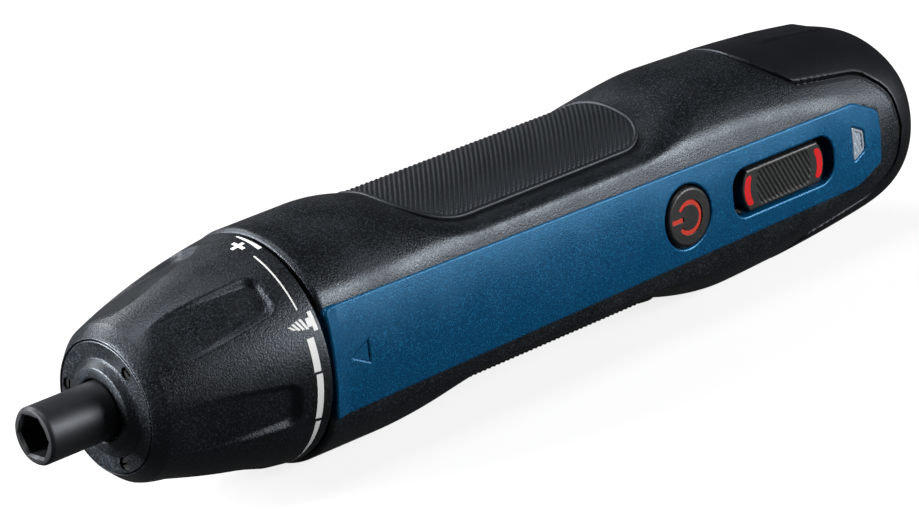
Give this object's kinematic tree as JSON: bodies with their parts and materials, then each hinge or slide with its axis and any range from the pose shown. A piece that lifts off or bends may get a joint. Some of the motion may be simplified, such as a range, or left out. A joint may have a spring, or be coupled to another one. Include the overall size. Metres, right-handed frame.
{
  "type": "cordless screwdriver",
  "caption": "In-line cordless screwdriver with a press-to-start spindle, torque collar, blue control panel, reversing slider, power button and charging socket.",
  "frame": {"origin": "mouth of the bit socket, on the spindle axis", "axes": "+X along the spindle axis to the tail, -Y out of the control panel, +Z out of the upper grip pad"},
  "size_m": [0.194, 0.0411, 0.0409],
  "materials": {
    "housing_plastic": "fine-grained black moulding",
    "collar_plastic": "satin black moulding",
    "panel_plastic": "satin blue moulding",
    "control_plastic": "fine-grained black moulding",
    "red_plastic": "coloured inlay",
    "clear_plastic": "clear lens",
    "grip_rubber": "soft black rubber",
    "black_steel": "blackened steel",
    "bright_steel": "plain steel",
    "dark_iron": "plain iron",
    "sintered_bronze": "sintered bronze",
    "case_plastic": "glass-filled moulding",
    "board_laminate": "coated board",
    "led_resin": "cast resin",
    "cell_wrap": "shrink wrap"
  },
  "bodies": {
    "housing": {"upper_housing": "housing_plastic", "lower_housing": "housing_plastic", "nose_plate": "collar_plastic", "control_panel": "panel_plastic", "status_window": "clear_plastic", "upper_grip": "grip_rubber", "lower_grip": "grip_rubber", "tail_cover": "grip_rubber", "nose_screws": "bright_steel", "housing_screws": "bright_steel", "motor_screws": "bright_steel", "clutch_washer": "bright_steel", "clutch_balls": "bright_steel", "motor_can": "bright_steel", "usb_socket": "bright_steel", "cell_tabs": "bright_steel", "clutch_spring": "bright_steel", "return_spring": "bright_steel", "motor_magnets": "dark_iron", "front_bush": "sintered_bronze", "rear_bush": "sintered_bronze", "gear_case": "case_plastic", "nose_ring": "case_plastic", "first_ring": "case_plastic", "second_ring": "case_plastic", "motor_plate": "case_plastic", "motor_end_cap": "case_plastic", "button_switch": "case_plastic", "slide_switch": "case_plastic", "start_sensor": "case_plastic", "main_board": "board_laminate", "status_led": "led_resin", "cell": "cell_wrap"},
    "thrust": {"thrust_ring": "bright_steel"},
    "spindle": {"bit_holder": "black_steel", "socket_magnet": "bright_steel", "spindle_clip": "bright_steel"},
    "collar": {"torque_collar": "collar_plastic"},
    "clutch_seat": {"clutch_nut": "case_plastic"},
    "rotor": {"motor_shaft": "bright_steel", "sun_pinion": "bright_steel", "armature": "dark_iron"},
    "first_stage": {"first_carrier": "bright_steel"},
    "second_stage": {"second_carrier": "bright_steel"},
    "button": {"power_button": "control_plastic", "power_symbol": "red_plastic"},
    "slider": {"direction_slider": "control_plastic", "slider_marks": "red_plastic"},
    "second_planet_1_body": {"second_planet_1": "bright_steel"},
    "second_planet_2_body": {"second_planet_2": "bright_steel"},
    "second_planet_3_body": {"second_planet_3": "bright_steel"},
    "first_planet_1_body": {"first_planet_1": "bright_steel"},
    "first_planet_2_body": {"first_planet_2": "bright_steel"},
    "first_planet_3_body": {"first_planet_3": "bright_steel"}
  },
  "joints": [
    {"name": "push_start", "type": "slide", "parent": "housing", "child": "thrust", "axis": [1, 0, 0], "range_m": [0, 0.0012], "stiffness_N_per_m": 3000, "deforming": ["return_spring"]},
    {"name": "spindle_spin", "type": "hinge", "parent": "thrust", "child": "spindle", "pos_m": [0.02, 0, 0], "axis": [1, 0, 0], "continuous": true},
    {"name": "rotor_spin", "type": "hinge", "parent": "housing", "child": "rotor", "pos_m": [0.085, 0, 0], "axis": [1, 0, 0], "continuous": true},
    {"name": "first_stage_spin", "type": "hinge", "parent": "housing", "child": "first_stage", "pos_m": [0.06, 0, 0], "axis": [1, 0, 0], "continuous": true},
    {"name": "second_stage_spin", "type": "hinge", "parent": "housing", "child": "second_stage", "pos_m": [0.051, 0, 0], "axis": [1, 0, 0], "continuous": true},
    {"name": "torque_collar_turn", "type": "hinge", "parent": "housing", "child": "collar", "pos_m": [0.03, 0, 0], "axis": [1, 0, 0], "range_deg": [-95, 77]},
    {"name": "clutch_seat_slide", "type": "slide", "parent": "housing", "child": "clutch_seat", "axis": [1, 0, 0], "range_m": [-0.0022, 0.0018], "deforming": ["clutch_spring"]},
    {"name": "power_button_press", "type": "slide", "parent": "housing", "child": "button", "axis": [0, 1, 0], "range_m": [0, 0.0008], "stiffness_N_per_m": 1500},
    {"name": "direction_slide", "type": "slide", "parent": "housing", "child": "slider", "axis": [1, 0, 0], "range_m": [-0.002, 0.002]},
    {"name": "second_planet_1_spin", "type": "hinge", "parent": "second_stage", "child": "second_planet_1_body", "pos_m": [0.06, 0.0075, 0], "axis": [1, 0, 0], "continuous": true},
    {"name": "second_planet_2_spin", "type": "hinge", "parent": "second_stage", "child": "second_planet_2_body", "pos_m": [0.06, -0.00375, 0.00649], "axis": [1, 0, 0], "continuous": true},
    {"name": "second_planet_3_spin", "type": "hinge", "parent": "second_stage", "child": "second_planet_3_body", "pos_m": [0.06, -0.00375, -0.00649], "axis": [1, 0, 0], "continuous": true},
    {"name": "first_planet_1_spin", "type": "hinge", "parent": "first_stage", "child": "first_planet_1_body", "pos_m": [0.06, 0.0075, 0], "axis": [1, 0, 0], "continuous": true},
    {"name": "first_planet_2_spin", "type": "hinge", "parent": "first_stage", "child": "first_planet_2_body", "pos_m": [0.06, -0.00375, 0.00649], "axis": [1, 0, 0], "continuous": true},
    {"name": "first_planet_3_spin", "type": "hinge", "parent": "first_stage", "child": "first_planet_3_body", "pos_m": [0.06, -0.00375, -0.00649], "axis": [1, 0, 0], "continuous": true}
  ],
  "couplings": [
    {"joint": "first_stage_spin", "follows": "rotor_spin", "ratio": 0.25},
    {"joint": "second_stage_spin", "follows": "rotor_spin", "ratio": 0.0625},
    {"joint": "spindle_spin", "follows": "rotor_spin", "ratio": 0.0625},
    {"joint": "clutch_seat_slide", "follows": "torque_collar_turn", "m_per_rad": 0.0012732},
    {"joint": "second_planet_1_spin", "follows": "rotor_spin", "ratio": -0.1875},
    {"joint": "second_planet_2_spin", "follows": "rotor_spin", "ratio": -0.1875},
    {"joint": "second_planet_3_spin", "follows": "rotor_spin", "ratio": -0.1875},
    {"joint": "first_planet_1_spin", "follows": "rotor_spin", "ratio": -0.75},
    {"joint": "first_planet_2_spin", "follows": "rotor_spin", "ratio": -0.75},
    {"joint": "first_planet_3_spin", "follows": "rotor_spin", "ratio": -0.75}
  ]
}
